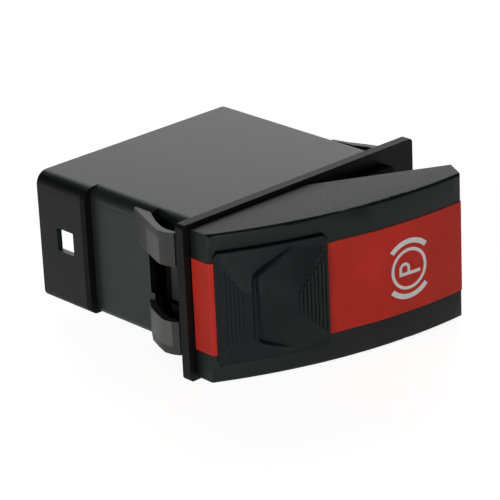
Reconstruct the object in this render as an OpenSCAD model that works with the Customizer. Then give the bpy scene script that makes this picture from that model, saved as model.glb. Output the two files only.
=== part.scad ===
// Panel rocker switch for a vehicle's parking brake, with a sliding lock on its rocker.
// X runs along the switch, -Y is its front, +Z is up, and the origin is the middle of
// the panel's cut-out, in the plane that the back of the flange rests on. The rocker is
// drawn as it rests, with its symbol end raised. The modules measure Y from the flange's
// front face, and the whole is moved forward by the flange's thickness at the end.

/* [Flange] */
// Length of the flange along X
flange_l = 50; // [48.5:0.5:54]
// Height of the flange along Z
flange_h = 25.8; // [25:0.1:30]
// Thickness of the flange
flange_t = 1.7; // [1.4:0.1:2.4]
// Corner radius of the flange
flange_r = 0.7; // [0.3:0.1:1.5]
// Half length of the opening in the flange
opening_x = 17.3; // [16.6:0.1:17.6]

/* [Housing] */
// Depth of the switch behind the flange's front face
body_d = 39.3; // [36:0.1:48]
// Height of the housing behind the flange
body_h = 21.7; // [21.3:0.1:22.4]
// Distance from the centre to the right wall's outside
body_right = 21.4; // [21:0.1:22]
// Distance from the centre to the left wall's outside, ahead of the step
body_left = 20.1; // [19.9:0.1:21]
// How far the left wall steps out at the plug shroud
step_out = 1.3; // [0.6:0.1:1.6]
// Place of that step along Y
step_y = 27.4; // [26.5:0.1:27.6]
// Radius of the housing's upper long edges
body_r = 2.2; // [1.4:0.1:2.8]
// Radius of the lower ones
body_low_r = 1.2; // [1.1:0.1:2.2]
// Wall above and below the mechanism
wall_z = 1.55; // [1.5:0.05:1.6]
// Wall at the two ends
wall_x = 1.2; // [1:0.1:1.3]
// Wall of the plug shroud
shroud_wall = 1; // [0.8:0.1:1.2]
// Depth of the plug shroud
shroud_d = 11.3; // [9:0.1:11.8]

/* [Spring fingers] */
// Reach of a finger's bend from the centre
finger_reach = 24; // [23.4:0.1:24.4]
// Thickness of a finger
finger_t = 1.15; // [0.9:0.05:1.4]
// Place of a finger's bend along Y
finger_bend_y = 6.8; // [6.2:0.1:7.2]
// Place of a finger's free end along Y
finger_end_y = 4.1; // [3.8:0.1:4.6]
// Root of the left fingers along Y
finger_root_left = 16.8; // [16:0.1:18]
// Root of the lower left finger along Y
finger_root_low = 14.4; // [13.8:0.1:15]
// Root of the right fingers along Y
finger_root_right = 14.6; // [14:0.1:16]
// Distance from the middle to a finger's inner edge
finger_in_z = 4.65; // [4.2:0.05:5]
// Distance from the middle to a finger's outer edge
finger_out_z = 10.2; // [9.6:0.1:10.6]

/* [Plug latch windows] */
// Width of a latch window along Y
window_w = 4.05; // [3:0.05:4.6]
// Height of a latch window
window_h = 3.9; // [3:0.1:5]
// Middle of a latch window along Y
window_y = 32.95; // [32.5:0.05:34]
// Middle of a latch window along Z
window_z = 0.4; // [0:0.1:0.8]

/* [Rocker] */
// Angle at which the rocker rests
tilt = 15; // [13:0.5:15.5]
// Angle that the rocker swings through
swing = 27; // [22:0.5:27]
// Distance of the pivot behind the flange's front face
pivot_y = 2; // [1.9:0.1:2.2]
// Radius of the pivot pin
pin_r = 1.3; // [1.1:0.05:1.4]
// Radial running clearance of the pin in the rocker frame
pin_gap = 0.05; // [0.02:0.01:0.09]
// Radius of the cap's curved front
front_r = 82.5; // [70:0.5:95]
// Distance from the pivot to the middle of the cap's front
front_v = 15.03; // [14.8:0.01:15.5]
// Height of the cap
cap_h = 24.4; // [23.8:0.1:24.8]
// Half length of the cap at its front corners
cap_front_l = 22.4; // [22:0.1:22.8]
// Half length of the cap at its rear corners
cap_rear_l = 23.3; // [22.9:0.1:23.5]
// Offset of the cap along the rocker from its pivot
cap_u = 0.52; // [0.3:0.02:0.6]
// How much further the cap reaches on the right than on the left
cap_shift = 0.9; // [0:0.1:1.2]
// Side, top and bottom wall of the cap
cap_wall = 1.3; // [1.1:0.1:1.35]
// Front wall of the cap
cap_front_wall = 2.8; // [2.6:0.1:3]
// Gap between the resting cap and the flange
cap_gap = 0.27; // [0.25:0.01:0.4]
// Radius of the cap's end corners
cap_corner_r = 0.5; // [0.4:0.1:1]
// Radius of the cap's long front edges
cap_edge_r = 0.5; // [0.4:0.1:1]

/* [Red label] */
// Height of the red label
label_h = 15.1; // [13:0.1:15.2]
// Thickness of the red label
label_t = 1.2; // [0.9:0.1:1.3]
// How far the label stands proud of the cap
label_proud = 0.12; // [0.1:0.01:0.15]

/* [Lock slider] */
// Length of the slider along the rocker
slider_l = 18.3; // [17.2:0.05:18.4]
// Height of the slider
slider_h = 18.6; // [18.2:0.1:18.8]
// Distance from the cap's middle to the slider's middle
slider_u = 12.3; // [12:0.05:12.35]
// Distance that the slider travels
slider_travel = 2.5; // [1.5:0.1:2.6]
// Height of the slider's rim above the cap's front
rim_up = 0.6; // [0.5:0.05:0.8]
// Height of the slider's flat top above the cap's front
crown_up = 2.5; // [2.2:0.1:2.8]
// Height of the thumb lip above the flat top
lip_up = 0.85; // [0.5:0.05:1.2]
// Ribs on the slider's left slope
ribs_left = 7; // [4:1:7]
// Ribs on the slider's right slope
ribs_right = 8; // [5:1:8]
// Width of the slider's guide rails
rail_t = 0.7; // [0.6:0.05:0.8]

/* [Contacts] */
// Thickness of a blade terminal
blade_t = 0.8; // [0.6:0.1:0.9]
// Width of a blade terminal
blade_w = 2.8; // [2.2:0.1:3]
// How far the blades stand into the plug shroud
blade_out = 5.4; // [4.5:0.1:5.6]
// Spacing of the blades along X
blade_pitch = 6; // [5.6:0.1:6.2]
// Distance of each row of blades from the middle
blade_row_z = 3.6; // [3.4:0.1:4]
// Reach of the rocker's drive arm from the pivot
arm_reach = 12.8; // [12.2:0.1:13.2]
// Radius of the drive arm's round end
arm_end_r = 1.8; // [1.5:0.1:1.9]

/* [Hidden] */
$fn = 48;
FINE = 180;

// Cuts run past a face by this much, and pieces that seat without a fit lie this far apart
cut = 0.5;
seat = 0.1;

// Housing, worked out
half_h = body_h / 2;
inner_z = half_h - wall_z;
inner_left = body_left - wall_x;
inner_right = body_right - wall_x;
shroud_left = body_left + step_out - shroud_wall;
shroud_right = body_right - shroud_wall;
shroud_z = half_h - 1.2;
shroud_low_r = 0.5;
ledge_y = body_d - shroud_d;
finger_cut_y = 13;
finger_cut_in = 0.9;
notch_front = 1.05;
notch_rear = -0.25;
catch_y = 12.2;
catch_rib_t = 1.2;
pin_bite = 1;

// Cap and slider, worked out in the rocker's own frame: u along it, v to its rear
arc_v = front_r - front_v;
right_slope = swing - tilt + 0.9;
rear_mid_v = (cap_u * sin(tilt) - pivot_y - cap_gap) / cos(tilt);
half_cap = cap_h / 2;
half_slider = slider_h / 2;
slider_turn = asin(slider_u / front_r);
travel_turn = slider_travel / front_r * 180 / PI;
groove_side = 0.2;
slot_gap = 0.1;
under_gap = 0.1;

// Mechanism, worked out
base_front_y = 20;
pad_t = 0.8;
frame_z = 8.8;
cheek_t = 2.2;
arm_t = 4.2;
hub_r = 3.4;
carriage_l = 14;
carriage_h = 13;
carriage_front_y = 11.5;
carriage_rear_y = 17.2;
arm_rest_x = arm_reach * sin(tilt);
arm_pushed_x = -arm_reach * sin(swing - tilt);

// A flat outline in X and Z, pushed along Y from y0 to y1
module along_y(y0, y1) {
    translate([0, y1, 0])
        rotate([90, 0, 0])
            linear_extrude(y1 - y0)
                children();
}

// A box between two corners
module box(low, high) {
    translate(low)
        cube(high - low);
}

// A rectangle with round corners, between two corners
module round_rect(x0, x1, z0, z1, r) {
    translate([x0 + r, z0]) square([x1 - x0 - 2 * r, z1 - z0]);
    translate([x0, z0 + r]) square([x1 - x0, z1 - z0 - 2 * r]);
    for (x = [x0 + r, x1 - r], z = [z0 + r, z1 - r])
        translate([x, z]) circle(r);
}

// The same about z = 0, with its own radius for the lower corners
module body_rect(x0, x1, half, r, low_r) {
    translate([x0 + low_r, -half]) square([x1 - x0 - 2 * low_r, half]);
    translate([x0, -half + low_r]) square([x1 - x0, 2 * half - low_r - r]);
    translate([x0 + r, 0]) square([x1 - x0 - 2 * r, half]);
    for (x = [x0 + low_r, x1 - low_r])
        translate([x, -half + low_r]) circle(low_r);
    for (x = [x0 + r, x1 - r])
        translate([x, half - r]) circle(r);
}

// A tube of round wire wound about +Z from the origin up
module coil(r, wire_r, turns, length) {
    sides = 8;
    steps = 14 * turns;
    rise = length - 2 * wire_r;
    ring = [for (i = [0:steps], s = [0:sides - 1])
        let (turn = 360 * turns * i / steps, around = 360 * s / sides,
             out = r + wire_r * cos(around))
        [out * cos(turn), out * sin(turn), wire_r + rise * i / steps + wire_r * sin(around)]];
    skin = [for (i = [0:steps - 1], s = [0:sides - 1])
        let (t = (s + 1) % sides)
        [i * sides + s, i * sides + t, (i + 1) * sides + t, (i + 1) * sides + s]];
    first = [[for (s = [sides - 1:-1:0]) s]];
    last = [[for (s = [0:sides - 1]) steps * sides + s]];
    polyhedron(ring, concat(skin, first, last), convexity = 8);
}

// Housing: flange, body, step, shroud and fingers in one moulding
module finger_outline(side, root_y, wall) {
    in_x = finger_reach - finger_t;
    scale([side, 1])
        polygon([[wall - 0.4, root_y], [wall, root_y], [finger_reach - 1.85, 11.7],
                 [finger_reach - 0.7, 8.9], [finger_reach, finger_bend_y],
                 [finger_reach - 0.25, finger_bend_y - 1.6],
                 [finger_reach - 0.8, finger_end_y], [in_x - 0.25, finger_end_y],
                 [in_x, finger_bend_y - 0.6], [in_x - 0.3, finger_bend_y + 1],
                 [in_x - 1.25, 10.1], [wall - 0.15, finger_cut_y],
                 [wall - 0.4, finger_cut_y + 0.2]]);
}

module finger(side, root_y, wall, level) {
    scale([1, 1, level])
        difference() {
            translate([0, 0, finger_in_z])
                linear_extrude(finger_out_z - finger_in_z)
                    finger_outline(side, root_y, wall);
            // The inner corner slopes away towards the free end, more so on the lower finger
            translate([side * (finger_reach - finger_t / 2),
                       finger_bend_y - (level > 0 ? 0.9 : 0.1), finger_in_z])
                rotate([level > 0 ? 28 : 35, 0, 0])
                    box([-3, -6, -4], [3, 0, 0]);
        }
}

// Room for a pair of fingers to spring into, at an end wall and its corners
module finger_room(side, wall, inner) {
    scale([side, 1, 1]) {
        translate([0, 0, -half_h - cut])
            linear_extrude(body_h + 2 * cut)
                polygon([[inner + notch_front, flange_t], [inner + notch_rear, finger_cut_y - 0.4],
                         [wall + 0.05, finger_cut_y + 0.2],
                         [flange_l / 2, finger_cut_y + 0.2], [flange_l / 2, flange_t]]);
        box([inner - cut, flange_t, -finger_in_z],
            [flange_l / 2, finger_cut_y + finger_cut_in, finger_in_z]);
    }
}

module housing_outside() {
    along_y(0, flange_t)
        round_rect(-flange_l / 2, flange_l / 2, -flange_h / 2, flange_h / 2, flange_r);
    along_y(flange_t - cut, body_d)
        body_rect(-body_left, body_right, half_h, body_r, body_low_r);
    along_y(step_y, body_d)
        body_rect(-body_left - step_out, body_right, half_h, body_r, body_low_r);
}

module housing() color("#3b3c3e") {
    difference() {
        union() {
            difference() {
                housing_outside();
                // Opening in the flange, mechanism chamber and plug shroud
                box([-opening_x, -cut, -inner_z], [opening_x, flange_t + cut, inner_z]);
                box([-inner_left, flange_t, -inner_z], [inner_right, ledge_y + cut, inner_z]);
                along_y(ledge_y, body_d + cut)
                    body_rect(-shroud_left, shroud_right, shroud_z, body_r - shroud_wall,
                              shroud_low_r);
                finger_room(-1, body_left, inner_left);
                finger_room(1, body_right, inner_right);
            }
            for (level = [-1, 1]) {
                finger(-1, level > 0 ? finger_root_left : finger_root_low, body_left, level);
                finger(1, finger_root_right, body_right, level);
            }
            // Small tab at the lower corner of the left end's gap
            box([-body_left, finger_cut_y, -finger_in_z - 0.2],
                [-inner_left, finger_cut_y + 1.2, -finger_in_z + 1.3]);
            // Rib that the lock's catch block backs on to
            box([-opening_x, catch_y, -inner_z - cut],
                [-inner_left + 3.3, catch_y + catch_rib_t, inner_z + cut]);
        }
        // Blind holes for the pivot pin
        translate([0, pivot_y, -inner_z - pin_bite])
            cylinder(h = 2 * (inner_z + pin_bite), r = pin_r);
        // Latch windows for the plug
        box([-flange_l / 2, window_y - window_w / 2, window_z - window_h / 2],
            [-shroud_left + cut, window_y + window_w / 2, window_z + window_h / 2]);
        box([shroud_right - cut, window_y - window_w / 2, window_z - window_h / 2],
            [flange_l / 2, window_y + window_w / 2, window_z + window_h / 2]);
        // Keyway in the shroud's floor, so that the plug goes in one way round
        box([-1.5, body_d - 8, -shroud_z - 0.5], [1.5, body_d + cut, -shroud_z + cut]);
    }
}

// Dust seal: a raised rubber frame round the opening, under the cap's skirt
seal_up = 2.1;
seal_t = 1.2;
module dust_seal() color("#0a0a0a")
    along_y(-seal_up, 0)
        difference() {
            round_rect(-opening_x - seal_t, opening_x + seal_t, -inner_z - seal_t,
                       inner_z + seal_t, 0.5);
            square([2 * opening_x, 2 * inner_z], center = true);
        }

// Terminal base: the block that closes the chamber, with the carriage's channel on its front
channel_x0 = -11.5;
channel_x1 = 12;
channel_wall = 1.5;
base_cols = [for (i = [0:3]) (arm_rest_x + arm_pushed_x) / 2 + (i - 1) * blade_pitch];
module terminal_base() color("#2c2d2f")
    difference() {
        union() {
            box([-inner_left + seat, base_front_y, -inner_z + seat],
                [inner_right - seat, ledge_y, inner_z - seat]);
            along_y(ledge_y, ledge_y + 1.6)
                round_rect(-shroud_left + seat, shroud_right - seat, -shroud_z + seat,
                           shroud_z - seat, body_r - shroud_wall - seat);
            // Channel walls with lips over the carriage's front
            for (side = [-1, 1])
                scale([1, 1, side]) {
                    box([channel_x0, carriage_front_y - 1.2, carriage_h / 2 + seat],
                        [channel_x1, base_front_y + cut, carriage_h / 2 + seat + channel_wall]);
                    box([channel_x0, carriage_front_y - 1.2, carriage_h / 2 - 1.2],
                        [channel_x1, carriage_front_y - seat, carriage_h / 2 + seat + cut]);
                }
        }
        // Slots for the blades
        for (x = base_cols, z = [-blade_row_z, blade_row_z])
            box([x - blade_w / 2, base_front_y - cut, z - blade_t / 2],
                [x + blade_w / 2, body_d, z + blade_t / 2]);
        // Detent dimples in the upper channel wall
        for (x = [arm_rest_x, arm_pushed_x])
            translate([x + plunger_dx, plunger_y, carriage_h / 2 + seat])
                sphere(r = 0.8);
        // Cored pockets in the front face, beside the channel
        for (x = [-15.2, 16])
            box([x - 2.2, base_front_y - cut, -6], [x + 2.2, ledge_y - 1.5, 6]);
    }

// Blade terminals: a contact pad on the base's front and a blade through it
module terminal(index) {
    x = base_cols[index % 4];
    z = index < 4 ? blade_row_z : -blade_row_z;
    tip_y = ledge_y + 1.6 + blade_out - 0.8;
    color("#c9a25c") {
        box([x - 2.1, base_front_y - pad_t, z - 1.7], [x + 2.1, base_front_y, z + 1.7]);
        hull() {
            box([x - blade_w / 2, base_front_y - pad_t, z - blade_t / 2],
                [x + blade_w / 2, tip_y, z + blade_t / 2]);
            box([x - blade_w / 2 + 0.6, tip_y, z - 0.12],
                [x + blade_w / 2 - 0.6, tip_y + 0.8, z + 0.12]);
        }
    }
}

// Circuit board on the right wall, its lamp and resistors, and the guide to the symbol
board_y0 = 5;
board_t = 1;
board_half = inner_z - 1.8;
module circuit_board() color("#1f5a33")
    difference() {
        box([inner_right - board_t, board_y0, -board_half],
            [inner_right, base_front_y, board_half]);
        for (z = [-board_half + 1.2, board_half - 1.2])
            translate([inner_right - board_t - cut, board_y0 + 1.4, z])
                rotate([0, 90, 0]) cylinder(h = board_t + 2 * cut, r = 0.6);
    }

lamp_y = 8;
module symbol_lamp() color("#f2e9c8") {
    box([inner_right - board_t - 1.6, lamp_y - 1.6, -1.4],
        [inner_right - board_t, lamp_y + 1.6, 1.4]);
    translate([inner_right - board_t - 2.1, lamp_y, 0])
        rotate([0, 90, 0]) cylinder(h = 1, r = 1.1);
}

module board_resistors() color("#202020")
    for (z = [-board_half / 2, board_half / 2], y = [lamp_y + 4, lamp_y + 7.5])
        box([inner_right - board_t - 0.6, y, z - 0.8], [inner_right - board_t, y + 2.2, z + 0.8]);

guide_x1 = opening_x - 0.6;
module light_guide() color("#dfe6e6")
    union() {
        box([guide_x1 - 3.2, -1.4, -3], [guide_x1, lamp_y + 2, 3]);
        // Foot that seats on the board's lamp side
        box([guide_x1 - 3.2, lamp_y + 2, -5], [inner_right - board_t, lamp_y + 3.4, 5]);
    }

// Lock catch: pale block behind the flange at the left end
module lock_catch() color("#a9a399")
    difference() {
        box([-opening_x + 0.05, flange_t, -5], [-inner_left + 3.3, catch_y, 5]);
        // Ledge for the lock's tongue
        box([-inner_left + 2.3, flange_t - cut, -3.4], [-inner_left + 4, flange_t + 2.2, 3.4]);
    }

module pivot_pin() color("#b9bcc0")
    translate([0, pivot_y, -inner_z - pin_bite + seat])
        cylinder(h = 2 * (inner_z + pin_bite - seat), r = pin_r);

// The rocker's own frame: its origin on the pivot, turned to the resting angle
module rocked() {
    translate([0, pivot_y, 0])
        rotate([0, 0, -tilt])
            children();
}

// Side outline of the cap's ends and corners, grown by g and open past the front's curve
module cap_outline(g) {
    r = cap_corner_r;
    arc_r = front_r + g;
    left_l = rear_l(-1) + g;
    right_l = rear_l(1) + g;
    translate([cap_u, 0]) {
        polygon(concat(cap_corner(-1, g, arc_r + 3), cap_corner(-1, g, arc_r),
                       [cap_corner_foot(-1, g), [-left_l, rear_v(-1)],
                        [-left_l, rear_v(-1) + 2], [0, rear_mid_v + 2],
                        [right_l, rear_v(1) + 2], [right_l, rear_v(1)],
                        cap_corner_foot(1, g)],
                       cap_corner(1, g, arc_r), cap_corner(1, g, arc_r + 3)));
        for (side = [-1, 1])
            translate(cap_corner_middle(side, g)) circle(r);
    }
}

// The cap's ends, left and right: reach from its middle, and place of the rear corner
function front_l(side) = cap_front_l + side * cap_shift / 2;
function rear_l(side) = cap_rear_l + side * cap_shift / 2;
function rear_v(side) = rear_mid_v - rear_l(side) * tan(side < 0 ? tilt : right_slope);
function front_corner_v(side) = arc_v - sqrt(pow(front_r, 2) - pow(front_l(side), 2));

// Middle of the round at a front corner, which touches the end and the front's curve
function end_dir(side) = let (d = [rear_l(side) - front_l(side),
                                   rear_v(side) - front_corner_v(side)])
    d / norm(d);
function cap_corner_middle(side, g) =
    let (d = end_dir(side), r = cap_corner_r, start = [front_l(side) + g, front_corner_v(side)],
         w = start + [-d[1], d[0]] * r - [0, arc_v], reach = front_r + g - r,
         t = -w * d - sqrt(pow(w * d, 2) - w * w + reach * reach),
         m = w + [0, arc_v] + d * t)
    [side * m[0], m[1]];
function cap_corner_foot(side, g) =
    let (d = end_dir(side), m = cap_corner_middle(side, g), reach = cap_corner_r - 0.01)
    [m[0] + side * d[1] * reach, m[1] - d[0] * reach];
function cap_corner(side, g, reach) =
    let (m = cap_corner_middle(side, g) - [0, arc_v])
    [m / norm(m) * reach + [0, arc_v]];

// Everything ahead of the cap's rear edge
module ahead_of_rear(shift) {
    far = 40;
    translate([0, shift])
        polygon([[-far, -far], [far, -far],
                 [far, rear_mid_v - (far - cap_u) * tan(right_slope)], [cap_u, rear_mid_v],
                 [-far, rear_mid_v - (far + cap_u) * tan(tilt)]]);
}

// A disc about the centre of the front's curve, between two heights
module front_disc(r, z0, z1) {
    translate([cap_u, arc_v, z0])
        cylinder(h = z1 - z0, r = r, $fn = FINE);
}

// The same with its rim edges rounded
module front_drum(r, half, edge) {
    translate([cap_u, arc_v, 0])
        rotate_extrude($fn = FINE)
            difference() {
                translate([0, -half]) square([r, 2 * half]);
                for (s = [-1, 1])
                    translate([r - edge, s * (half - edge)])
                        difference() {
                            translate([0, s > 0 ? 0 : -edge - cut]) square([edge + cut, edge + cut]);
                            circle(edge);
                        }
            }
}

peg_u = 7;
peg_r = 0.6;
peg_l = 2;
foot_u0 = -slider_u - 3.8;
foot_u1 = foot_u0 + 6;
slot_u0 = foot_u0 - slot_gap;
slot_u1 = foot_u1 + slider_travel + slot_gap;
slot_z = 3;
rail_end = -slider_travel - 0.8;
module rocker_cap() color("#2b2c2e")
    rocked()
        difference() {
            union() {
                difference() {
                    intersection() {
                        front_drum(front_r, half_cap, cap_edge_r);
                        linear_extrude(cap_h, center = true)
                            intersection() {
                                cap_outline(0);
                                ahead_of_rear(0);
                            }
                    }
                    // Hollow behind the front wall
                    intersection() {
                        front_disc(front_r - cap_front_wall, -half_cap + cap_wall,
                                   half_cap - cap_wall);
                        linear_extrude(cap_h, center = true)
                            cap_outline(-cap_wall);
                    }
                    // Seat for the label, round the front and both ends
                    linear_extrude(label_h + 2 * label_gap, center = true)
                        difference() {
                            square(4 * cap_rear_l, center = true);
                            label_inside();
                        }
                }
                // Inner walls that back the label's ends
                for (s = [-1, 1])
                    intersection() {
                        linear_extrude(label_h + 2, center = true)
                            intersection() {
                                label_inside();
                                ahead_of_rear(0);
                                translate([cap_u + s * (rear_l(s) - label_t), 0])
                                    square([2 * cap_wall, 4 * front_v], center = true);
                            }
                        front_disc(front_r - cut, -half_cap, half_cap);
                    }
                // Pegs that hold the rocker frame
                for (u = [-peg_u, peg_u], z = [-peg_z, peg_z])
                    intersection() {
                        translate([u, 0, z])
                            rotate([90, 0, 0]) cylinder(h = front_v, r = peg_r);
                        difference() {
                            front_disc(front_r - 2, -half_cap, half_cap);
                            front_disc(front_r - cap_front_wall - peg_l, -half_cap, half_cap);
                        }
                    }
                // Stop that the lock spring pushes on
                translate([cap_u + spring_stop_u, spring_v, 0])
                    box([0, -4, -2.6], [1.4, 2, 2.6]);
            }
            // Slot for the slider's foot, and grooves for its rails
            translate([cap_u, 0, 0])
                box([slot_u0, -2 * front_v, -slot_z - slot_gap],
                    [slot_u1, -front_v + cap_front_wall + 2.6, slot_z + slot_gap]);
            for (s = [-1, 1])
                rail(s, half_slider - rail_t - slot_gap, half_slider + groove_side,
                     front_r - rail_down - under_gap, front_r + 5, 0.6, -0.6);
        }
peg_z = frame_z - cheek_t / 2;
label_gap = 0.03;
rail_down = 0.9;
spring_v = -front_v + cap_front_wall + 3;
spring_stop_u = foot_u1 + 7.2;

// What lies behind the label, seen from the side
function label_back(side) =
    let (front = front_l(side) - label_t, rear = rear_l(side) - label_t,
         way = [[side * front, -2 * front_v], [side * front, front_corner_v(side)],
                [side * rear, rear_v(side)], [side * rear, 0]])
    side > 0 ? way : [for (i = [3:-1:0]) way[i]];
module label_inside() {
    translate([cap_u, 0])
        intersection() {
            translate([0, arc_v]) circle(front_r - label_t, $fn = FINE);
            polygon(concat(label_back(-1), label_back(1)));
        }
}

// A curved bar along the cap's front, side s, from z0 to z1, within the slider's length
module rail(s, z0, z1, r0, r1, grow_left, grow_right) {
    scale([1, 1, s])
        intersection() {
            difference() {
                front_disc(r1, z0, z1);
                front_disc(r0, z0 - cut, z1 + cut);
            }
            translate([cap_u - slider_u - slider_l / 2 + grow_left, -2 * front_v, 0])
                cube([slider_l - grow_left + grow_right, 2 * front_v, half_cap]);
        }
}

module red_label() color("#98302a")
    rocked()
        difference() {
            linear_extrude(label_h, center = true)
                intersection() {
                    translate([cap_u, arc_v]) circle(front_r + label_proud, $fn = FINE);
                    difference() {
                        cap_outline(label_proud);
                        label_inside();
                    }
                    ahead_of_rear(-0.02);
                }
            translate([cap_u, 0, 0])
                box([slot_u0, -2 * front_v, -slot_z - slot_gap],
                    [slot_u1, 0, slot_z + slot_gap]);
        }

// Rocker frame: hub, two cheeks with bars under the cap, and the drive arm
bar_l = 9.5;
bar_v = -front_v + cap_front_wall + 2.8;
module rocker_frame() color("#4a4b4d")
    rocked()
        difference() {
            union() {
                cylinder(h = 2 * frame_z, r = hub_r, center = true);
                for (s = [-1, 1])
                    scale([1, 1, s])
                        intersection() {
                            translate([0, 0, frame_z - cheek_t])
                                linear_extrude(cheek_t)
                                    polygon([[-bar_l, -2 * front_v], [bar_l, -2 * front_v],
                                             [bar_l, bar_v], [hub_r, 0], [-hub_r, 0],
                                             [-bar_l, bar_v]]);
                            front_disc(front_r - cap_front_wall - 0.03, 0, frame_z);
                        }
                // Drive arm with its round end
                translate([0, 0, -arm_t / 2])
                    linear_extrude(arm_t) {
                        polygon([[-2.4, 2], [2.4, 2], [1, 8.6], [1, arm_reach], [-1, arm_reach],
                                 [-1, 8.6]]);
                        translate([0, arm_reach]) circle(arm_end_r);
                    }
                // Webs that stiffen the arm
                for (z = [-3.2, 2])
                    translate([0, 0, z])
                        linear_extrude(1.2)
                            polygon([[-2.8, 1.5], [2.8, 1.5], [1, 6.2], [-1, 6.2]]);
            }
            cylinder(h = 4 * frame_z, r = pin_r + pin_gap, center = true);
            for (u = [-peg_u, peg_u], z = [-peg_z, peg_z])
                translate([u, -front_v + cap_front_wall + peg_l + 0.5, z])
                    rotate([90, 0, 0]) cylinder(h = front_v, r = peg_r + 0.03);
            // Windows through the cheeks
            for (s = [-1, 1])
                translate([0, -7.4, s * (frame_z - cheek_t / 2)])
                    cylinder(h = cheek_t + cut, r = 1.9, center = true);
        }

// The slider's own frame: on the middle of its place, p outward from the cap's front
module on_slider() {
    translate([cap_u, arc_v, 0])
        rotate([0, 0, -slider_turn])
            translate([0, -front_r, 0])
                rotate([90, 0, 0])
                    children();
}

// Heights over the cap's front are p; drop() turns them to heights over the tangent plane
function drop(s) = s * s / (2 * front_r);
crown_s0 = -5.5;
crown_s1 = 3;
crown_z0 = 3.35;
crown_z1 = 1.45;
slope_left = [-7.9, 7.5, rim_up];
slope_right = [slider_l / 2 - 0.1, 7.1, rim_up - 0.05];
shoulder_z = half_slider - 0.55;
crown_points = [slope_left, [-7.4, shoulder_z, rim_up], [0, shoulder_z, rim_up],
                [slider_l / 2 - 0.6, shoulder_z, rim_up], slope_right,
                [crown_s0, crown_z0, crown_up - 0.15], [-3, crown_z0, crown_up],
                [crown_s1, crown_z1, crown_up + 0.3]];
module crown()
    hull()
        for (q = crown_points, side = [-1, 1])
            translate([q[0], side * q[1], q[2] - drop(q[0]) - 0.1])
                cube([0.1, 0.1, 0.2], center = true);

// Thumb lip: a C-shaped bead round the left of the finger pad, as s, z, p and half width
lip_path = [[3.6, 8.3, rim_up + 0.2, 0.3], [-2.6, 6.1, crown_up - 0.4, 0.5],
            [-3.75, 4.6, crown_up + lip_up, 0.55]];
module lip_post(q, side) {
    translate([q[0], side * q[1], 0.3])
        cylinder(h = q[2] - drop(q[0]) - 0.3, r1 = 2 * q[3], r2 = 0.5 * q[3], $fn = 12);
}
module lip() {
    last = lip_path[len(lip_path) - 1];
    for (side = [-1, 1], i = [0:len(lip_path) - 2])
        hull()
            for (k = [i, i + 1])
                lip_post(lip_path[k], side);
    hull()
        for (side = [-1, 1])
            lip_post(last, side);
}

// Ribs across a slope, between two points given as s, z and p
module slope_ribs(count, low, high) {
    for (i = [0:count - 1])
        let (t = (i + 0.5) / count, q = low + (high - low) * t)
            translate([q[0], 0, q[2] - drop(q[0]) - 0.03])
                rotate([90, 0, 0])
                    cylinder(h = 2 * q[1] - 0.3, r = 0.22, center = true, $fn = 6);
}

module slider_plate()
    intersection() {
        front_disc(front_r + rim_up, -half_slider - 1, half_slider + 1);
        on_slider()
            translate([0, 0, -2])
                linear_extrude(4)
                    round_rect(-slider_l / 2, slider_l / 2, -half_slider, half_slider, 1);
    }

module lock_slider() color("#1f2122")
    rocked() {
        difference() {
            union() {
                slider_plate();
                on_slider() {
                    crown();
                    lip();
                    slope_ribs(ribs_left, slope_left, crown_points[5]);
                    slope_ribs(ribs_right, slope_right, crown_points[7]);
                }
            }
            front_disc(front_r + label_proud + under_gap, -half_cap, half_cap);
        }
        // Guide rails
        for (s = [-1, 1])
            rail(s, half_slider - rail_t, half_slider - 0.1, front_r - rail_down,
                 front_r + 0.4, 0.8, rail_end);
        // Foot through the cap
        intersection() {
            translate([cap_u, 0, 0])
                box([foot_u0, -2 * front_v, -slot_z], [foot_u1, 0, slot_z]);
            difference() {
                front_disc(front_r + 0.4, -half_cap, half_cap);
                front_disc(front_r - cap_front_wall - keeper_gap, -half_cap, half_cap);
            }
        }
    }

// Lock keeper: plate clipped to the slider's foot inside the cap, with the lock's tongue
keeper_t = 1.4;
keeper_gap = 0.2;
keeper_seat = 0.04;
module lock_keeper() color("#8d8f92")
    rocked() {
        intersection() {
            translate([cap_u, 0, 0])
                box([foot_u0 - 0.8, -2 * front_v, -4.6], [foot_u1, 0, 4.6]);
            difference() {
                front_disc(front_r - cap_front_wall - keeper_gap - keeper_seat, -half_cap,
                           half_cap);
                front_disc(front_r - cap_front_wall - keeper_gap - keeper_t, -half_cap,
                           half_cap);
            }
        }
        // Block for the spring, and the tongue behind it
        translate([cap_u, 0, 0]) {
            box([foot_u1 - 3.7, spring_v - 1.4, -2.4], [foot_u1, spring_v + 1.9, 2.4]);
            box([foot_u1 - 5.5, spring_v - 1, -2.4], [foot_u1 - 3.7, spring_v + 3.6, 2.4]);
        }
    }

module lock_spring() color("#c3c6ca")
    rocked()
        translate([cap_u + foot_u1, spring_v, 0])
            rotate([0, 90, 0])
                coil(1.4, 0.25, 6, spring_stop_u - foot_u1);

// Contact carriage, driven by the arm's round end
plunger_y = 14.1;
plunger_r = 1.1;
plunger_dx = -4.4;
bridge_y = carriage_rear_y - 1;
module contact_carriage() color("#d8d4c8")
    translate([arm_rest_x, 0, 0])
        difference() {
            box([-carriage_l / 2, carriage_front_y, -carriage_h / 2],
                [carriage_l / 2, carriage_rear_y, carriage_h / 2]);
            // Slot for the arm's end
            box([-arm_end_r - slot_gap, carriage_front_y - cut, -arm_t / 2 - 0.2],
                [arm_end_r + slot_gap, carriage_rear_y + cut, arm_t / 2 + 0.2]);
            // Bore for the detent plunger and its spring
            translate([plunger_dx, plunger_y, 0])
                cylinder(h = carriage_h, r = plunger_r + 0.05);
            // Pockets for the bridges
            for (s = [-1, 1])
                box([-4.4, bridge_y, s * blade_row_z - 1.15],
                    [4.4, carriage_rear_y + cut, s * blade_row_z + 1.15]);
        }

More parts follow.
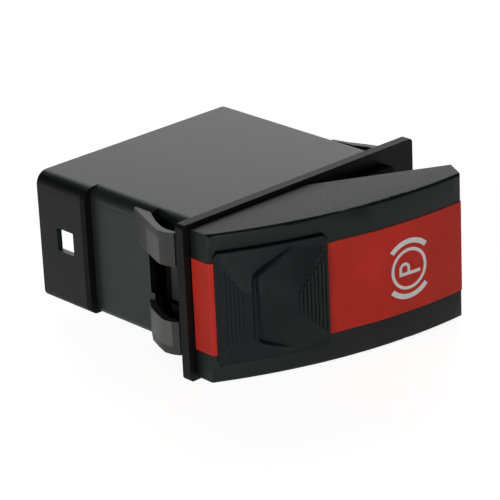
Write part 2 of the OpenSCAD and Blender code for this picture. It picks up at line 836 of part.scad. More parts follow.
// Contact bridge: a bowed copper strip with two contact domes
module contact_bridge(s) color("#b87445")
    translate([arm_rest_x, 0, s * blade_row_z]) {
        translate([0, bridge_y, -1.1])
            linear_extrude(2.2)
                polygon([[-4, 1.8], [-2.5, 1.8], [-1.3, 0], [1.3, 0], [2.5, 1.8], [4, 1.8],
                         [4, 2.2], [2.3, 2.2], [1.1, 0.4], [-1.1, 0.4], [-2.3, 2.2],
                         [-4, 2.2]]);
        for (x = [-blade_pitch / 2, blade_pitch / 2])
            translate([x, bridge_y + 2.2, 0])
                rotate([-90, 0, 0])
                    cylinder(h = base_front_y - pad_t - bridge_y - 2.2 - seat, r1 = 0.8,
                             r2 = 0.5);
    }

plunger_l = 3;
module detent_plunger() color("#c9ccd0")
    translate([arm_rest_x + plunger_dx, plunger_y, carriage_h / 2 + seat / 2]) {
        translate([0, 0, -plunger_r])
            intersection() {
                sphere(r = plunger_r);
                cylinder(h = plunger_r, r = plunger_r);
            }
        translate([0, 0, -plunger_l])
            cylinder(h = plunger_l - plunger_r, r = plunger_r);
    }

module detent_spring() color("#c3c6ca")
    translate([arm_rest_x + plunger_dx, plunger_y, 0])
        coil(0.8, 0.15, 5, carriage_h / 2 + seat / 2 - plunger_l);

translate([0, -flange_t, 0]) {
    housing();
    dust_seal();
    terminal_base();
    for (i = [0:7])
        terminal(i);
    circuit_board();
    symbol_lamp();
    board_resistors();
    light_guide();
    lock_catch();
    pivot_pin();
    rocker_cap();
    red_label();
    rocker_frame();
    lock_spring();
    lock_slider();
    lock_keeper();
    contact_carriage();
    contact_bridge(1);  // contact_bridge_1
    contact_bridge(-1);  // contact_bridge_2
    detent_spring();
    detent_plunger();
}
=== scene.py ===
import math

import bmesh
import bpy
import numpy as np
from mathutils import Matrix, Vector


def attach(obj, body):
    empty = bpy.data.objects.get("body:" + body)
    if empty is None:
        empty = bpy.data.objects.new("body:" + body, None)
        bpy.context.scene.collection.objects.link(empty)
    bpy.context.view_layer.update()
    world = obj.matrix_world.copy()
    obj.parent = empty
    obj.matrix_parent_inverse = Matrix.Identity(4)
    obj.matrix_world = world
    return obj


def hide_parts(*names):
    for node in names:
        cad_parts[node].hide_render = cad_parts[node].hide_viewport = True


# The parking brake switch is dressed here. Sizes are in millimetres until they meet a mesh.
MM = 0.001
FLANGE_T = 1.7
TILT = math.radians(15)
PIVOT_Y = 2.0
CAP_U = 0.52
FRONT_R = 82.5
ARC_V = FRONT_R - 15.03
LABEL_PROUD = 0.12

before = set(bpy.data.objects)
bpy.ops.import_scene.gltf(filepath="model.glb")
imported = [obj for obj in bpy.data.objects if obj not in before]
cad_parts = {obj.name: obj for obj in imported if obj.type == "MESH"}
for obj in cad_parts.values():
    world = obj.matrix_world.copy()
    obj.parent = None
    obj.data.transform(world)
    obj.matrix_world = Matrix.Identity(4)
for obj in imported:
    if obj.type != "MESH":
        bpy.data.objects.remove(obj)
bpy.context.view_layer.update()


# Places


def rocked(u, v, z):
    """A point of the rocker's own frame as it rests, in metres."""
    c, s = math.cos(TILT), math.sin(TILT)
    return Vector((u * c + v * s, PIVOT_Y - u * s + v * c - FLANGE_T, z)) * MM


def on_front(a, z, up):
    """A point of the cap's curved front: a along it from its middle, up over it."""
    turn = math.asin(a / FRONT_R)
    r = FRONT_R + up
    return rocked(CAP_U + r * math.sin(turn), ARC_V - r * math.cos(turn), z)


# Finishes


def node_tree(name):
    mat = bpy.data.materials.new(name)
    mat.use_nodes = True
    nodes = mat.node_tree.nodes
    nodes.clear()
    out = nodes.new("ShaderNodeOutputMaterial")
    shader = nodes.new("ShaderNodeBsdfPrincipled")
    mat.node_tree.links.new(shader.outputs["BSDF"], out.inputs["Surface"])
    where = nodes.new("ShaderNodeTexCoord")
    return mat, nodes, mat.node_tree.links, shader, where.outputs["Object"]


def ramp_between(nodes, links, source, low, high, start=0.3, end=0.7):
    ramp = nodes.new("ShaderNodeValToRGB")
    ramp.color_ramp.elements[0].position = start
    ramp.color_ramp.elements[1].position = end
    ramp.color_ramp.elements[0].color = (*low, 1)
    ramp.color_ramp.elements[1].color = (*high, 1)
    links.new(source, ramp.inputs["Fac"])
    return ramp.outputs["Color"]


def noise(nodes, links, place, scale, detail=2.0, rough=0.5):
    tex = nodes.new("ShaderNodeTexNoise")
    tex.inputs["Scale"].default_value = scale
    tex.inputs["Detail"].default_value = detail
    tex.inputs["Roughness"].default_value = rough
    links.new(place, tex.inputs["Vector"])
    return tex.outputs["Fac"]


def moulded(name, colour, gloss, grain=0.03, grain_size=0.35, specular=0.5):
    """Moulded plastic: eroded grain, a faint mottle and slight changes of gloss."""
    mat, nodes, links, shader, place = node_tree(name)
    fine = noise(nodes, links, place, 1000 / grain_size, 3.0, 0.6)
    broad = noise(nodes, links, place, 120, 3.0)
    low = tuple(0.88 * c for c in colour)
    high = tuple(min(1, 1.12 * c) for c in colour)
    links.new(ramp_between(nodes, links, broad, low, high), shader.inputs["Base Color"])
    gloss_low, gloss_high = (max(0.05, gloss - 0.05),) * 3, (min(1, gloss + 0.05),) * 3
    links.new(ramp_between(nodes, links, fine, gloss_low, gloss_high), shader.inputs["Roughness"])
    bump = nodes.new("ShaderNodeBump")
    bump.inputs["Strength"].default_value = 1.0
    bump.inputs["Distance"].default_value = grain * MM
    links.new(fine, bump.inputs["Height"])
    links.new(bump.outputs["Normal"], shader.inputs["Normal"])
    shader.inputs["Specular IOR Level"].default_value = specular
    return mat


def metal(name, colour, gloss, stroke=(1, 1, 1)):
    """Drawn or rolled metal: fine strokes along the piece and a faint cloud of tarnish."""
    mat, nodes, links, shader, place = node_tree(name)
    stretch = nodes.new("ShaderNodeMapping")
    stretch.inputs["Scale"].default_value = stroke
    links.new(place, stretch.inputs["Vector"])
    lines = noise(nodes, links, stretch.outputs["Vector"], 2500, 2.0)
    cloud = noise(nodes, links, place, 260, 3.0)
    low = tuple(0.8 * c for c in colour)
    links.new(ramp_between(nodes, links, cloud, low, colour), shader.inputs["Base Color"])
    links.new(ramp_between(nodes, links, lines, (gloss - 0.06,) * 3, (gloss + 0.08,) * 3),
              shader.inputs["Roughness"])
    bump = nodes.new("ShaderNodeBump")
    bump.inputs["Strength"].default_value = 0.6
    bump.inputs["Distance"].default_value = 0.006 * MM
    links.new(lines, bump.inputs["Height"])
    links.new(bump.outputs["Normal"], shader.inputs["Normal"])
    shader.inputs["Metallic"].default_value = 1.0
    return mat


housing_black = moulded("housing_black", (0.0165, 0.018, 0.018), 0.42, 0.012, 0.3)
# Painted shade: a darker copy of the housing's finish for the flange's front, which is the same
# moulding
flange_painted_shade = moulded("flange_painted_shade", (0.005, 0.005, 0.005), 0.5, 0.012, 0.3, 0.2)
# Painted shade: a darker copy of the housing's finish for the shroud's wall
shroud_painted_shade = moulded("shroud_painted_shade", (0.006, 0.0062, 0.0064), 0.45, 0.012, 0.3, 0.3)
# Painted shade: near-black for the faces inside the hollow housing, the step before the shroud and
# the mould line
painted_shade_black = moulded("painted_shade_black", (0.003, 0.003, 0.003), 0.6, 0.012, 0.3, 0.15)
# Painted sheen: a lighter copy of the housing's finish for the snap fingers' sloped faces
finger_painted_sheen = moulded("finger_painted_sheen", (0.034, 0.035, 0.035), 0.42, 0.012, 0.3)
# Painted highlight: a pale finish for part of the snap fingers' slopes
finger_painted_highlight = moulded("finger_painted_highlight", (0.12, 0.12, 0.118), 0.45, 0.02, 0.5)
cap_black = moulded("cap_black", (0.0055, 0.0065, 0.0067), 0.46, 0.02, 0.28, 0.32)
slider_black = moulded("slider_black", (0.0072, 0.0092, 0.0097), 0.48, 0.006, 0.25, 0.22)
label_red = moulded("label_red", (0.62, 0.03, 0.017), 0.48, 0.008, 0.3, 0.28)
symbol_print = moulded("symbol_print", (0.9, 0.89, 0.86), 0.5, 0.006, 0.2)
# Black rubber for the dust seal, made as dark as the painted shade so that the seal also stands for
# the shade in the gap beside the cap's end
seal_rubber = moulded("seal_rubber", (0.003, 0.003, 0.003), 0.62, 0.03, 0.4, 0.12)
base_black = moulded("base_black", (0.016, 0.016, 0.018), 0.45, 0.012, 0.4)
catch_pale = moulded("catch_pale", (0.055, 0.052, 0.047), 0.5, 0.012, 0.4)
frame_grey = moulded("frame_grey", (0.07, 0.07, 0.075), 0.5, 0.012, 0.4)
keeper_grey = moulded("keeper_grey", (0.22, 0.22, 0.23), 0.45, 0.012, 0.4)
carriage_cream = moulded("carriage_cream", (0.55, 0.5, 0.42), 0.45, 0.012, 0.4)
lamp_white = moulded("lamp_white", (0.8, 0.74, 0.5), 0.3, 0.005, 0.4)
resistor_black = moulded("resistor_black", (0.02, 0.02, 0.02), 0.35, 0.01, 0.2)
board_green = moulded("board_green", (0.015, 0.12, 0.045), 0.3, 0.02, 0.5)
guide_clear = moulded("guide_clear", (0.75, 0.8, 0.8), 0.12, 0.003, 0.6)
guide_clear.node_tree.nodes["Principled BSDF"].inputs["Transmission Weight"].default_value = 0.8
pin_steel = metal("pin_steel", (0.55, 0.55, 0.57), 0.28, (1, 1, 0.05))
spring_steel = metal("spring_steel", (0.6, 0.6, 0.62), 0.25)
blade_brass = metal("blade_brass", (0.78, 0.6, 0.32), 0.3, (1, 0.05, 1))
bridge_copper = metal("bridge_copper", (0.75, 0.42, 0.25), 0.32, (0.05, 1, 1))

FINISH = {
    "housing": housing_black, "dust_seal": seal_rubber, "terminal_base": base_black,
    "circuit_board": board_green, "symbol_lamp": lamp_white,
    "board_resistors": resistor_black, "light_guide": guide_clear, "lock_catch": catch_pale,
    "pivot_pin": pin_steel, "rocker_cap": cap_black, "red_label": label_red,
    "rocker_frame": frame_grey, "lock_spring": spring_steel, "lock_slider": slider_black,
    "lock_keeper": keeper_grey, "contact_carriage": carriage_cream,
    "contact_bridge_1": bridge_copper, "contact_bridge_2": bridge_copper,
    "detent_spring": spring_steel, "detent_plunger": pin_steel,
}
for i in range(8):
    FINISH[f"terminal_{i + 1}"] = blade_brass
for name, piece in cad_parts.items():
    piece.data.materials.clear()
    piece.data.materials.append(FINISH[name])


# Pieces


def mesh_piece(name, mesh, material, body):
    mesh.materials.clear()
    mesh.materials.append(material)
    piece = bpy.data.objects.new(name, mesh)
    bpy.context.scene.collection.objects.link(piece)
    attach(piece, body)
    return piece


def softened(node, body, width, segments=2, angle=32, crease=25, flat_sides=True):
    """The node's own shape with its sharp mould edges rounded over; angles are in degrees."""
    bm = bmesh.new()
    bm.from_mesh(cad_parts[node].data)
    bmesh.ops.remove_doubles(bm, verts=bm.verts, dist=0.002 * MM)
    bmesh.ops.dissolve_limit(bm, angle_limit=math.radians(0.4), verts=bm.verts, edges=bm.edges)
    mesh = bpy.data.meshes.new(node + "_moulding")
    bm.to_mesh(mesh)
    bm.free()
    mesh.shade_smooth()
    mesh.set_sharp_from_angle(angle=math.radians(crease))
    piece = mesh_piece(node + "_moulding", mesh, FINISH[node], body)
    edge = piece.modifiers.new("edges", "BEVEL")
    edge.width = width * MM
    edge.segments = segments
    edge.limit_method = "ANGLE"
    edge.angle_limit = math.radians(angle)
    edge.harden_normals = flat_sides
    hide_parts(node)
    return piece


def painted(piece, material, wanted):
    """Gives the faces that the test picks a finish of their own; it sees centre and normal."""
    mesh = piece.data
    mesh.materials.append(material)
    at = len(mesh.materials) - 1
    for face in mesh.polygons:
        if wanted(face.center / MM, face.normal):
            face.material_index = at


# Places on the housing where painted shade, sheen and highlights begin and end
FINGER_OUT = 20.2
FINGER_HIGHLIGHT_Z = 8.9
SHROUD_STEP_END = 26.9
MOULD_LINE = (8.2, 8.27)


def outward_faces(bm, side, beyond, behind, before=100.0, facing=0.3):
    """Faces at one end of the housing that look outwards, by how far out and back they lie."""
    found = []
    for face in bm.faces:
        mid = face.calc_center_median() / MM
        if side * mid.x > beyond and behind < mid.y < before and side * face.normal.x > facing:
            found.append(face)
    return found


def cut_through(bm, faces, place, normal):
    edges = list(dict.fromkeys(e for f in faces for e in f.edges))
    verts = list(dict.fromkeys(v for f in faces for v in f.verts))
    bmesh.ops.bisect_plane(bm, geom=faces + edges + verts, plane_co=place, plane_no=normal)


# Faces inside the hollow housing, which get painted shade
def in_hollow(c, n):
    outer_round = abs(c.z) > 9.6 and n.z * c.z > 0.1 * abs(c.z)
    outer_wall = abs(c.x) > 19 and c.x * n.x > 18
    return abs(c.x) < 19.95 and 0.02 < c.y < 25 and not outer_round and not outer_wall


# The faces of the step before the shroud, on the left side only, which get a painted shadow
def on_step(c, n):
    return 25.5 < c.y < SHROUD_STEP_END + 0.05 and c.x < -19.5 and abs(n.z) < 0.9


# A thin strip along the mould line on the side walls, which gets painted shade in place of its small
# step
def on_mould_line(c, n):
    return c.y > 11 and c.x * n.x > 19 and MOULD_LINE[0] < c.z < MOULD_LINE[1]


# The snap fingers' sloped outer faces, which get painted sheen
def on_finger(c, n):
    return abs(c.x) > FINGER_OUT and 1 < c.y < 14.5 and c.x * n.x > 0 and abs(n.x) < 0.998


def on_finger_highlight(c, n):
    """The slope with a painted highlight: higher up on the upper fingers, all of it on the lower
    ones.
    """
    front, rear = (5, 10) if c.z > 0 else (4, 14)
    outside = abs(c.x) > FINGER_OUT and c.x * n.x > 0 and abs(n.z) < 0.5
    return outside and front < c.y < rear and abs(c.z) < FINGER_HIGHLIGHT_Z


def housing_finish(piece):
    """Painted shade on the flange, the hollow inside, the step, the mould line and the shroud;
    painted sheen and highlights on the snap fingers' slopes.
    """
    bm = bmesh.new()
    bm.from_mesh(piece.data)
    for side in (-1, 1):
        for level in (-FINGER_HIGHLIGHT_Z, FINGER_HIGHLIGHT_Z):
            ramp = outward_faces(bm, side, FINGER_OUT, 2, 15)
            near = [f for f in ramp if f.calc_center_median().z * level > 0]
            cut_through(bm, near, (0, 0, level * MM), (0, 0, 1))
        wall = outward_faces(bm, side, 20.9, 26)
        cut_through(bm, wall, (0, SHROUD_STEP_END * MM, 0), (0, 1, 0))
        for level in MOULD_LINE:
            wall = outward_faces(bm, side, 19, 11, facing=0.95)
            cut_through(bm, wall, (0, 0, level * MM), (0, 0, 1))
    bm.to_mesh(piece.data)
    bm.free()
    # Painted shade on the flange's front faces
    painted(piece, flange_painted_shade, lambda c, n: c.y < -0.02)
    # Painted shade inside the hollow and a painted shadow on the step
    painted(piece, painted_shade_black, in_hollow)
    painted(piece, painted_shade_black, on_step)
    # Painted shade on the faces behind the shroud's step that face left: the shroud's left outer
    # wall, and also the inner face of its right wall
    painted(piece, shroud_painted_shade, lambda c, n: c.y > SHROUD_STEP_END and n.x < -0.6)
    # Painted shade as a thin dark strip along the mould line
    painted(piece, painted_shade_black, on_mould_line)
    # Painted sheen on the snap fingers' slopes
    painted(piece, finger_painted_sheen, on_finger)
    # Painted highlight on part of the snap fingers' slopes
    painted(piece, finger_painted_highlight, on_finger_highlight)


# Brake symbol: print on the label


def arc_band(mid, radius, width, start, end, steps):
    """A band along an arc, as a list of quads of (a, z) points."""
    turns = np.linspace(math.radians(start), math.radians(end), steps + 1)

    def rim(r):
        return [(mid[0] + r * math.cos(t), mid[1] + r * math.sin(t)) for t in turns]

    inner, outer = rim(radius - width / 2), rim(radius + width / 2)
    return [(inner[i], outer[i], outer[i + 1], inner[i + 1]) for i in range(steps)]


def bar_band(x0, x1, z0, z1, steps=6):
    """A straight band, cut into quads so that it bends with the label."""
    cuts = np.linspace(x0, x1, steps + 1)
    return [((cuts[i], z0), (cuts[i + 1], z0), (cuts[i + 1], z1), (cuts[i], z1))
            for i in range(steps)]


SYMBOL_MID = (11.7, -0.32)
RING_R, RING_STROKE = 3.2, 0.52
BRACKET_R, BRACKET_STROKE = 4.6, 0.85


def brake_symbol():
    mid = SYMBOL_MID
    quads = arc_band(mid, RING_R, RING_STROKE, 0, 360, 64)
    for start in (44, 224):
        quads += arc_band(mid, BRACKET_R, BRACKET_STROKE, start, start + 92, 24)
    # The letter lies on its side, its head towards the lock
    stem_z, head, foot, bowl = mid[1] - 0.75, 9.75, 13.85, 1.05
    quads += bar_band(head, foot, stem_z - 0.27, stem_z + 0.27)
    quads += bar_band(head, head + 0.5, stem_z, stem_z + 0.9, 2)
    quads += bar_band(head + 2 * bowl - 0.5, head + 2 * bowl, stem_z, stem_z + 0.9, 2)
    quads += arc_band((head + bowl, stem_z + 0.9), bowl - 0.25, 0.5, 0, 180, 20)
    bm = bmesh.new()
    low, high = LABEL_PROUD - 0.01, LABEL_PROUD + 0.02
    for quad in quads:
        ring = [[bm.verts.new(on_front(a, z, up)) for a, z in quad] for up in (low, high)]
        bm.faces.new(ring[1])
        bm.faces.new(reversed(ring[0]))
        for i in range(4):
            j = (i + 1) % 4
            bm.faces.new((ring[0][i], ring[0][j], ring[1][j], ring[1][i]))
    bmesh.ops.recalc_face_normals(bm, faces=bm.faces)
    mesh = bpy.data.meshes.new("brake_symbol")
    bm.to_mesh(mesh)
    bm.free()
    return mesh_piece("brake_symbol", mesh, symbol_print, "rocker")


brake_symbol()
housing_finish(softened("housing", "housing", 0.12))
softened("rocker_cap", "rocker", 0.3, segments=3, angle=50, crease=48, flat_sides=False)
softened("red_label", "rocker", 0.08)


# Lock slider: a sculpted plate with a thumb lip and two ribbed slopes

SLIDER_L, SLIDER_H, SLIDER_CORNER = 18.3, 18.6, 1.0
SLIDER_TURN = math.asin(12.3 / FRONT_R)
SLIDER_UNDER = 0.22
RIM_UP = 0.6
# Crest of the lip from its middle round to an arm's end: s, z, height over the slope below
LIP_PATH = ((-3.75, 0.0, 0.85), (-3.75, 4.2, 0.85), (-3.5, 5.1, 0.84), (-2.75, 5.75, 0.8),
            (-1.3, 6.45, 0.66), (0.95, 7.45, 0.36), (3.3, 8.4, 0.0))
LIP_OUTER, LIP_INNER = 0.4, 0.6


def on_slider(s, z, p):
    """A point of the slider: s along it from its middle, p out from the cap's curved front."""
    c, n = math.cos(SLIDER_TURN), math.sin(SLIDER_TURN)
    r = FRONT_R + p - s * s / (2 * FRONT_R)
    return rocked(CAP_U + s * c - r * n, ARC_V - s * n - r * c, z)


def soft_min(a, b, k):
    t = np.clip(0.5 + 0.5 * (b - a) / k, 0, 1)
    return b * (1 - t) + a * t - k * t * (1 - t)


# Faces of the crown: rise over each millimetre, and the place where each starts
LEFT_RISE, LEFT_FOOT = 0.6, -8.3
RIGHT_RISE, RIGHT_FOOT, RIGHT_UP = 0.377, 9.1, 0.5
TOP_RISE, TOP_START, TOP_UP = 0.0588, -5.5, 2.3
FLANK_RISE, FLANK_FOOT, FLANK_DRAWN_IN = 0.3, 9.0, 0.24


def slider_slopes(s, z):
    """Height of the crown: two ribbed slopes, two flanks and a nearly flat top."""
    left = RIM_UP + LEFT_RISE * (s - LEFT_FOOT)
    right = RIGHT_UP + RIGHT_RISE * (RIGHT_FOOT - s)
    top = TOP_UP + TOP_RISE * (s - TOP_START)
    flank = RIM_UP + FLANK_RISE * (FLANK_FOOT - FLANK_DRAWN_IN * np.logaddexp(0, s - 3) - np.abs(z))
    pad = np.clip((s + 3.2) / 2, 0, 1)
    crown = soft_min(top, flank, 0.12 + 0.5 * pad)
    crown = soft_min(soft_min(crown, left, 0.22), right, 0.15)
    return -soft_min(-crown, np.full_like(s, -RIM_UP), 0.12)


def lip_height(s, z):
    """Height of the thumb lip over the slopes: steep outside, hollow inside."""
    half = np.array(LIP_PATH)
    way = np.vstack([half[::-1] * (1, -1, 1), half[1:]])
    t = np.linspace(0, len(way) - 1, 420)
    at = np.stack([np.interp(t, np.arange(len(way)), way[:, k]) for k in range(3)], 1)
    for _ in range(12):
        at[1:-1] = (at[:-2] + 2 * at[1:-1] + at[2:]) / 4
    run = np.gradient(at[:, :2], axis=0)
    up = np.zeros_like(s)
    for i in range(len(s)):
        gap = np.array((s[i], z[i])) - at[:, :2]
        k = int(np.argmin((gap ** 2).sum(1)))
        side = run[k, 0] * gap[k, 1] - run[k, 1] * gap[k, 0]
        d = math.hypot(*gap[k])
        if side > 0:
            part = max(0.0, 1 - d / LIP_OUTER)
            up[i] = at[k, 2] * part * part * (3 - 2 * part)
        else:
            part = max(0.0, 1 - d / LIP_INNER)
            up[i] = at[k, 2] * part * part * (3 - 2 * part)
            dip = min(1, max(0.0, 5.2 - abs(z[i])))
            up[i] -= 0.12 * dip * math.exp(-((d - 0.85) / 0.13) ** 2)
    return up


def edge_steps(half, step=0.13):
    """Places from -half to half, close together at both ends where the rim rounds over."""
    near = (0, 0.03, 0.07, 0.12, 0.18, 0.25)
    inner = np.linspace(-half + 0.35, half - 0.35, int((2 * half - 0.7) / step) + 1)
    return np.array([-half + n for n in near] + list(inner) + [half - n for n in near[::-1]])


def slider_plate():
    half_l, half_h, r = SLIDER_L / 2, SLIDER_H / 2, SLIDER_CORNER
    rows = edge_steps(half_h)
    cols = edge_steps(half_l) / half_l
    past_corner = np.maximum(0, np.abs(rows) - half_h + r)
    reach = half_l - (r - np.sqrt(np.maximum(0, r * r - past_corner ** 2)))
    s = reach[:, None] * cols[None, :]
    z = np.repeat(rows[:, None], len(cols), 1)
    qx, qz = np.abs(s) - (half_l - r), np.abs(z) - (half_h - r)
    corner_gap = np.hypot(np.maximum(qx, 0), np.maximum(qz, 0))
    inside = r - (corner_gap + np.minimum(np.maximum(qx, qz), 0))
    p = slider_slopes(s, z) + lip_height(s.ravel(), z.ravel()).reshape(s.shape)
    rim = 0.22
    near = np.clip(rim - inside, 0, rim)
    p = p - (rim - np.sqrt(rim * rim - near * near))
    n_rows, n_cols = s.shape
    bm = bmesh.new()
    top = [[bm.verts.new(on_slider(s[i, j], z[i, j], p[i, j])) for j in range(n_cols)]
           for i in range(n_rows)]
    ring = ([(0, j) for j in range(n_cols)] + [(i, n_cols - 1) for i in range(1, n_rows)]
            + [(n_rows - 1, j) for j in range(n_cols - 2, -1, -1)]
            + [(i, 0) for i in range(n_rows - 2, 0, -1)])
    low = {q: bm.verts.new(on_slider(s[q], z[q], SLIDER_UNDER)) for q in ring}
    for i in range(n_rows - 1):
        for j in range(n_cols - 1):
            bm.faces.new((top[i][j], top[i][j + 1], top[i + 1][j + 1], top[i + 1][j]))
    for a, b in zip(ring, ring[1:] + ring[:1]):
        bm.faces.new((top[a[0]][a[1]], low[a], low[b], top[b[0]][b[1]]))
    last = n_rows - 1
    for j in range(1, n_cols - 2):
        bm.faces.new((low[0, j], low[last, j], low[last, j + 1], low[0, j + 1]))
    bm.faces.new([low[i, 0] for i in range(n_rows)] + [low[last, 1], low[0, 1]])
    end = n_cols - 1
    bm.faces.new([low[i, end] for i in range(last, -1, -1)] + [low[0, end - 1], low[last, end - 1]])
    # Foot through the cap, and the rails in its grooves
    for side in (-1, 1):
        run = np.linspace(-SLIDER_L / 2 + 0.8, SLIDER_L / 2 - 3.3, 14)
        strip(bm, run, side * 8.6, side * 9.2, -0.9, 0.3)
    strip(bm, np.linspace(-3.75, 1.75, 6), -3, 3, -3.0, 0.3)
    bmesh.ops.recalc_face_normals(bm, faces=bm.faces)
    mesh = bpy.data.meshes.new("lock_slider_moulding")
    bm.to_mesh(mesh)
    bm.free()
    mesh.shade_smooth()
    mesh.set_sharp_from_angle(angle=math.radians(40))
    return mesh


def strip(bm, places, z0, z1, p0, p1):
    """A closed bar that follows the cap's front under the slider."""
    loops = [[bm.verts.new(on_slider(s, z, p)) for z, p in ((z0, p0), (z1, p0), (z1, p1), (z0, p1))]
             for s in places]
    bm.faces.new(loops[0])
    bm.faces.new(loops[-1][::-1])
    for a, b in zip(loops, loops[1:]):
        for k in range(4):
            bm.faces.new((a[k], a[(k + 1) % 4], b[(k + 1) % 4], b[k]))


def rib_builder():
    """Node tree that sets a row of rounded ribs between two places, from one length to another."""
    tree = bpy.data.node_groups.new("thumb_ribs", "GeometryNodeTree")
    tree.interface.new_socket("Geometry", in_out="OUTPUT", socket_type="NodeSocketGeometry")
    wants = (("Count", "NodeSocketInt"), ("First", "NodeSocketVector"), ("Last", "NodeSocketVector"),
             ("First length", "NodeSocketFloat"), ("Last length", "NodeSocketFloat"),
             ("Width", "NodeSocketFloat"), ("Height", "NodeSocketFloat"),
             ("Edge radius", "NodeSocketFloat"), ("Lean", "NodeSocketFloat"),
             ("Material", "NodeSocketMaterial"))
    for label, kind in wants:
        tree.interface.new_socket(label, in_out="INPUT", socket_type=kind)
    add, join = tree.nodes.new, tree.links.new
    given, out = add("NodeGroupInput"), add("NodeGroupOutput")
    row = add("GeometryNodeMeshLine")
    row.mode = "END_POINTS"
    join(given.outputs["Count"], row.inputs["Count"])
    join(given.outputs["First"], row.inputs["Start Location"])
    join(given.outputs["Last"], row.inputs["Offset"])
    outline = add("GeometryNodeCurvePrimitiveQuadrilateral")
    join(given.outputs["Width"], outline.inputs["Width"])
    join(given.outputs["Height"], outline.inputs["Height"])
    rounded = add("GeometryNodeFilletCurve")
    rounded.mode = "POLY"
    rounded.inputs["Count"].default_value = 5
    join(outline.outputs["Curve"], rounded.inputs["Curve"])
    join(given.outputs["Edge radius"], rounded.inputs["Radius"])
    spine = add("GeometryNodeCurvePrimitiveLine")
    spine.inputs["Start"].default_value = (0, 0, -0.5)
    spine.inputs["End"].default_value = (0, 0, 0.5)
    bar = add("GeometryNodeCurveToMesh")
    bar.inputs["Fill Caps"].default_value = True
    join(spine.outputs["Curve"], bar.inputs["Curve"])
    join(rounded.outputs["Curve"], bar.inputs["Profile Curve"])
    index = add("GeometryNodeInputIndex")
    less = add("ShaderNodeMath")
    less.operation = "SUBTRACT"
    less.inputs[1].default_value = 1.0
    join(given.outputs["Count"], less.inputs[0])
    share = add("ShaderNodeMath")
    share.operation = "DIVIDE"
    join(index.outputs[0], share.inputs[0])
    join(less.outputs[0], share.inputs[1])
    length = add("ShaderNodeMix")
    length.data_type = "FLOAT"
    join(share.outputs[0], length.inputs["Factor"])
    join(given.outputs["First length"], length.inputs["A"])
    join(given.outputs["Last length"], length.inputs["B"])
    size = add("ShaderNodeCombineXYZ")
    size.inputs["X"].default_value = 1.0
    size.inputs["Y"].default_value = 1.0
    join(length.outputs["Result"], size.inputs["Z"])
    turn = add("ShaderNodeCombineXYZ")
    turn.inputs["X"].default_value = math.pi / 2
    join(given.outputs["Lean"], turn.inputs["Y"])
    place = add("GeometryNodeInstanceOnPoints")
    join(row.outputs["Mesh"], place.inputs["Points"])
    join(bar.outputs["Mesh"], place.inputs["Instance"])
    join(turn.outputs[0], place.inputs["Rotation"])
    join(size.outputs[0], place.inputs["Scale"])
    real = add("GeometryNodeRealizeInstances")
    join(place.outputs[0], real.inputs[0])
    paint = add("GeometryNodeSetMaterial")
    join(real.outputs[0], paint.inputs["Geometry"])
    join(given.outputs["Material"], paint.inputs["Material"])
    join(paint.outputs[0], out.inputs["Geometry"])
    return tree


def grown(tree, name, settings):
    """The mesh that the node tree makes with these settings, in millimetres."""
    start = bpy.data.meshes.new(name + "_start")
    holder = bpy.data.objects.new(name + "_holder", start)
    bpy.context.scene.collection.objects.link(holder)
    step = holder.modifiers.new("nodes", "NODES")
    step.node_group = tree
    for item in tree.interface.items_tree:
        if item.item_type == "SOCKET" and item.in_out == "INPUT" and item.name in settings:
            step[item.identifier] = settings[item.name]
    bpy.context.view_layer.update()
    graph = bpy.context.evaluated_depsgraph_get()
    mesh = bpy.data.meshes.new_from_object(holder.evaluated_get(graph))
    holder.modifiers.remove(step)
    bpy.data.objects.remove(holder)
    bpy.data.meshes.remove(start)
    mesh.name = name
    return mesh


def slope_ribs(name, count, first, last, width, height):
    """Ribs across one slope; first and last give s, half length and p."""
    lean = -math.atan2(last[2] - first[2], last[0] - first[0])
    mesh = grown(RIBS, name, {
        "Count": count, "First": (first[0], 0, first[2]), "Last": (last[0], 0, last[2]),
        "First length": 2 * first[1], "Last length": 2 * last[1], "Width": width,
        "Height": height, "Edge radius": 0.24 * width, "Lean": lean, "Material": slider_black})
    for v in mesh.vertices:
        v.co = on_slider(v.co.x, v.co.y, v.co.z)
    mesh.shade_smooth()
    mesh.set_sharp_from_angle(angle=math.radians(40))
    mesh.update()
    return mesh_piece(name, mesh, slider_black, "lock")


RIBS = rib_builder()


def lock_slider():
    piece = mesh_piece("lock_slider_moulding", slider_plate(), slider_black, "lock")
    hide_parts("lock_slider")
    slope_ribs("left_thumb_ribs", 5, (-7.86, 6.1, 0.864), (-5.74, 3.3, 2.136), 0.42, 0.3)
    slope_ribs("right_thumb_ribs", 8, (8.75, 6.5, 0.64), (3.6, 1.8, 2.58), 0.6, 0.38)


lock_slider()


# Floor, lights and camera


FLOOR_Z = -12.91
FLOOR_GLOW, FLOOR_GLOSS_SHARE = 0.86, 0.56
SHADE_LIGHT = 0.025
# Camera: turn, height and lean in degrees, distance and shifts in millimetres, focal length in pixels
VIEW_TURN, VIEW_HEIGHT, VIEW_LEAN = -42.388, 22.514, -2.645
VIEW_FAR, VIEW_ACROSS, VIEW_UP = 418.13, -8.534, 1.130
VIEW_FOCAL, PICTURE_W, SENSOR_W = 2660.7, 500, 36


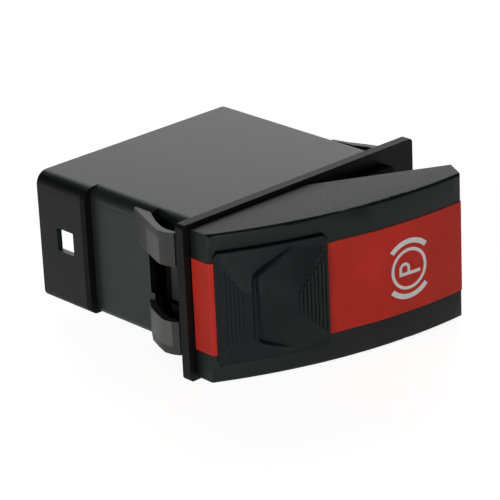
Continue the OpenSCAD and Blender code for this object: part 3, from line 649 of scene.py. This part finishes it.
def stage():
    scene = bpy.context.scene
    bpy.ops.mesh.primitive_plane_add(size=6, location=(0, 0, FLOOR_Z * MM))
    floor = bpy.context.object
    floor.name = "floor"
    mat, nodes, links, shader, place = node_tree("floor_pale")
    paper = noise(nodes, links, place, 8, 2.0)
    links.new(ramp_between(nodes, links, paper, (0.8, 0.8, 0.8), (0.83, 0.83, 0.83)),
              shader.inputs["Base Color"])
    shader.inputs["Roughness"].default_value = 0.7
    shader.inputs["Specular IOR Level"].default_value = 0.1
    out = next(n for n in nodes if n.type == "OUTPUT_MATERIAL")
    glow = nodes.new("ShaderNodeEmission")
    rays = nodes.new("ShaderNodeLightPath")
    seen = nodes.new("ShaderNodeMath")
    seen.operation = "MULTIPLY"
    seen.inputs[1].default_value = FLOOR_GLOW
    direct = nodes.new("ShaderNodeMath")
    direct.operation = "MAXIMUM"
    links.new(rays.outputs["Is Camera Ray"], direct.inputs[0])
    faint = nodes.new("ShaderNodeMath")
    faint.operation = "MULTIPLY"
    faint.inputs[1].default_value = FLOOR_GLOSS_SHARE
    links.new(rays.outputs["Is Glossy Ray"], faint.inputs[0])
    links.new(faint.outputs[0], direct.inputs[1])
    links.new(direct.outputs[0], seen.inputs[0])
    links.new(seen.outputs[0], glow.inputs["Strength"])
    both = nodes.new("ShaderNodeAddShader")
    links.new(shader.outputs[0], both.inputs[0])
    links.new(glow.outputs[0], both.inputs[1])
    links.new(both.outputs[0], out.inputs["Surface"])
    floor.data.materials.append(mat)

    def lamp(name, place, size, power):
        data = bpy.data.lights.new(name, "AREA")
        data.size = size
        data.energy = power
        obj = bpy.data.objects.new(name, data)
        obj.location = place
        obj.rotation_euler = (Vector((0, 0, 0)) - Vector(place)).to_track_quat("-Z", "Y").to_euler()
        scene.collection.objects.link(obj)

    lamp("back", (0.75, 0.85, 0.5), 1.0, 4.8)
    lamp("left", (-0.8, -0.25, 0.15), 0.5, 3.2)
    lamp("key", (-0.4, -0.9, 0.04), 0.5, 3.4)

    world = bpy.data.worlds.new("studio")
    scene.world = world
    world.use_nodes = True
    nodes, links = world.node_tree.nodes, world.node_tree.links
    nodes.clear()
    out = nodes.new("ShaderNodeOutputWorld")
    sky = nodes.new("ShaderNodeBackground")
    rays = nodes.new("ShaderNodeLightPath")
    power = nodes.new("ShaderNodeMapRange")
    power.inputs["To Min"].default_value = SHADE_LIGHT
    power.inputs["To Max"].default_value = 1.0
    links.new(rays.outputs["Is Camera Ray"], power.inputs["Value"])
    links.new(power.outputs["Result"], sky.inputs["Strength"])
    links.new(sky.outputs[0], out.inputs["Surface"])

    az, el, roll = (math.radians(v) for v in (VIEW_TURN, VIEW_HEIGHT, VIEW_LEAN))
    back = Vector((math.sin(az) * math.cos(el), -math.cos(az) * math.cos(el), math.sin(el)))
    right = Vector((math.cos(az), math.sin(az), 0))
    up = back.cross(right)
    across = math.cos(roll) * right + math.sin(roll) * up
    upward = -math.sin(roll) * right + math.cos(roll) * up
    data = bpy.data.cameras.new("camera")
    data.sensor_width = SENSOR_W
    data.lens = VIEW_FOCAL * SENSOR_W / PICTURE_W
    data.clip_start = 0.05
    cam = bpy.data.objects.new("camera", data)
    turn = Matrix((across, upward, back)).transposed().to_4x4()
    middle = Vector((0, -FLANGE_T, 0))
    spot = (back * VIEW_FAR + across * VIEW_ACROSS + upward * VIEW_UP + middle) * MM
    cam.matrix_world = Matrix.Translation(spot) @ turn
    scene.collection.objects.link(cam)
    scene.camera = cam
    scene.view_settings.view_transform = "Standard"


stage()
